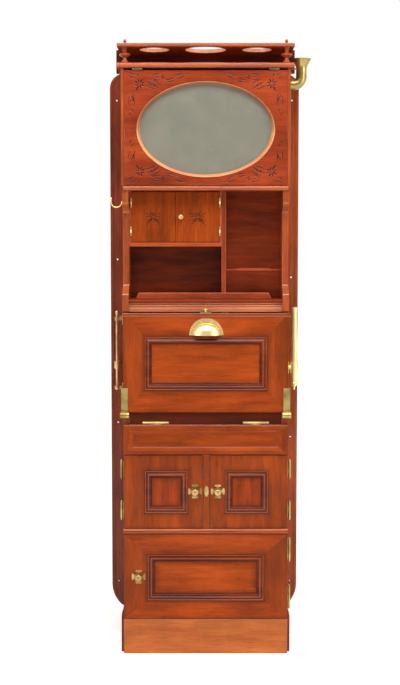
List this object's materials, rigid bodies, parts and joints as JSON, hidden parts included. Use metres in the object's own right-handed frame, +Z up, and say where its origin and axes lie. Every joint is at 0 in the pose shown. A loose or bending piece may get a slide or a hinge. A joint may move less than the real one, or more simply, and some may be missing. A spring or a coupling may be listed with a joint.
{
  "type": "washstand cabinet",
  "caption": "Tall narrow wall-backed washstand cabinet with an oval mirror door, bottle gallery, tip-up basin behind a fall front, frieze flap, panelled cupboards and brass fittings.",
  "frame": {"origin": "the middle of the plinth's front bottom edge, on the floor", "axes": "+X across the front to the right as seen from the front, +Y from the front to the wall, +Z up"},
  "size_m": [0.614, 0.2053, 1.8566],
  "materials": {
    "mahogany": "red-brown french-polished mahogany",
    "mahogany_dark": "darker polished mahogany",
    "mahogany_inner": "plain oiled mahogany",
    "brass": "polished brass, lightly tarnished",
    "zinc": "tinned sheet metal",
    "mirror": "silvered plate glass",
    "ceramic": "white glaze"
  },
  "bodies": {
    "carcass": {"back_board": "mahogany_dark", "gallery_back": "mahogany_dark", "gallery_top_shelf": "mahogany", "gallery_lower_shelf": "mahogany", "gallery_spindles": "mahogany", "side_left": "mahogany", "side_right": "mahogany", "mid_shelf": "mahogany", "divider": "mahogany", "cupboard_shelf": "mahogany", "service_panel": "mahogany_inner", "compartment_floor": "mahogany_inner", "fiddle_rails": "mahogany", "front_rail": "mahogany", "apron_board": "mahogany", "door_head_rail": "mahogany_inner", "muntin": "mahogany", "mid_rail": "mahogany", "cupboard_floor": "mahogany_inner", "plinth": "mahogany", "side_skirtings": "mahogany", "water_tank": "zinc", "filler_horn": "brass", "supply_pipe": "brass", "waste_hopper": "zinc", "slop_can": "zinc", "towel_post": "brass", "coat_hook": "brass", "candle_bracket": "brass", "carcass_fittings": "brass", "fall_hinge_lugs": "brass"},
    "mirror_door": {"mirror_frame": "mahogany", "mirror_lip": "mahogany", "mirror_glass": "mirror", "mirror_backing": "mahogany_inner", "mirror_hinge_leaves": "brass"},
    "small_left": {"small_door_left": "mahogany"},
    "small_right": {"small_door_right": "mahogany", "small_door_knob": "brass"},
    "fall": {"fall_frame": "mahogany", "fall_panel": "mahogany", "fall_moulding": "mahogany_dark", "cup_pull": "brass", "fall_brackets": "brass", "basin": "ceramic"},
    "bolt": {"fall_bolt": "brass"},
    "flap": {"frieze_flap": "mahogany", "frieze_hinge_leaves": "brass"},
    "door_left": {"left_door": "mahogany", "left_door_fittings": "brass"},
    "knob_left": {"left_door_knob": "brass"},
    "door_right": {"right_door": "mahogany", "right_door_fittings": "brass"},
    "knob_right": {"right_door_knob": "brass"},
    "door_bottom": {"bottom_door": "mahogany", "bottom_door_fittings": "brass"},
    "knob_bottom": {"bottom_door_knob": "brass"},
    "towel_arm_body": {"towel_arm": "brass"},
    "candle_tube_body": {"candle_tube": "brass"},
    "tap_button_body": {"tap_button": "brass"}
  },
  "joints": [
    {"name": "mirror_door_lift", "type": "hinge", "parent": "carcass", "child": "mirror_door", "pos_m": [0, -0.003, 1.7672], "axis": [-1, 0, 0], "range_deg": [0, 90]},
    {"name": "small_left_swing", "type": "hinge", "parent": "carcass", "child": "small_left", "pos_m": [-0.2257, 0.044, 1.332], "axis": [0, 0, -1], "range_deg": [0, 95]},
    {"name": "small_right_swing", "type": "hinge", "parent": "carcass", "child": "small_right", "pos_m": [0.04295, 0.044, 1.332], "axis": [0, 0, 1], "range_deg": [0, 95]},
    {"name": "fall_drop", "type": "hinge", "parent": "carcass", "child": "fall", "pos_m": [0, -0.008, 0.7356], "axis": [1, 0, 0], "range_deg": [0, 90]},
    {"name": "fall_bolt_slide", "type": "slide", "parent": "fall", "child": "bolt", "axis": [0, 0, 1], "range_m": [0, 0.004]},
    {"name": "frieze_flap_lift", "type": "hinge", "parent": "carcass", "child": "flap", "pos_m": [0, 0.005, 0.711], "axis": [-1, 0, 0], "range_deg": [0, 90]},
    {"name": "left_door_swing", "type": "hinge", "parent": "carcass", "child": "door_left", "pos_m": [-0.2555, 0.02, 0.502], "axis": [0, 0, -1], "range_deg": [0, 170]},
    {"name": "left_knob_turn", "type": "hinge", "parent": "door_left", "child": "knob_left", "pos_m": [-0.032, 0, 0.50225], "axis": [0, -1, 0], "range_deg": [0, 90]},
    {"name": "right_door_swing", "type": "hinge", "parent": "carcass", "child": "door_right", "pos_m": [0.2555, 0.02, 0.502], "axis": [0, 0, 1], "range_deg": [0, 170]},
    {"name": "right_knob_turn", "type": "hinge", "parent": "door_right", "child": "knob_right", "pos_m": [0.037, 0, 0.50225], "axis": [0, 1, 0], "range_deg": [0, 90]},
    {"name": "bottom_door_swing", "type": "hinge", "parent": "carcass", "child": "door_bottom", "pos_m": [0.2555, 0.02, 0.24], "axis": [0, 0, 1], "range_deg": [0, 170]},
    {"name": "bottom_knob_turn", "type": "hinge", "parent": "door_bottom", "child": "knob_bottom", "pos_m": [-0.204, 0, 0.23925], "axis": [0, 1, 0], "range_deg": [0, 90]},
    {"name": "towel_arm_swing", "type": "hinge", "parent": "carcass", "child": "towel_arm_body", "pos_m": [-0.269, 0.04, 0.8845], "axis": [0, 0, 1], "range_deg": [0, 120]},
    {"name": "candle_tube_tilt", "type": "hinge", "parent": "carcass", "child": "candle_tube_body", "pos_m": [0.254, 0.04, 0.877], "axis": [1, 0, 0], "range_deg": [-30, 30]},
    {"name": "tap_button_push", "type": "slide", "parent": "carcass", "child": "tap_button_body", "axis": [0, 1, 0], "range_m": [0, 0.005], "stiffness_N_per_m": 400, "springref_m": -0.002}
  ]
}
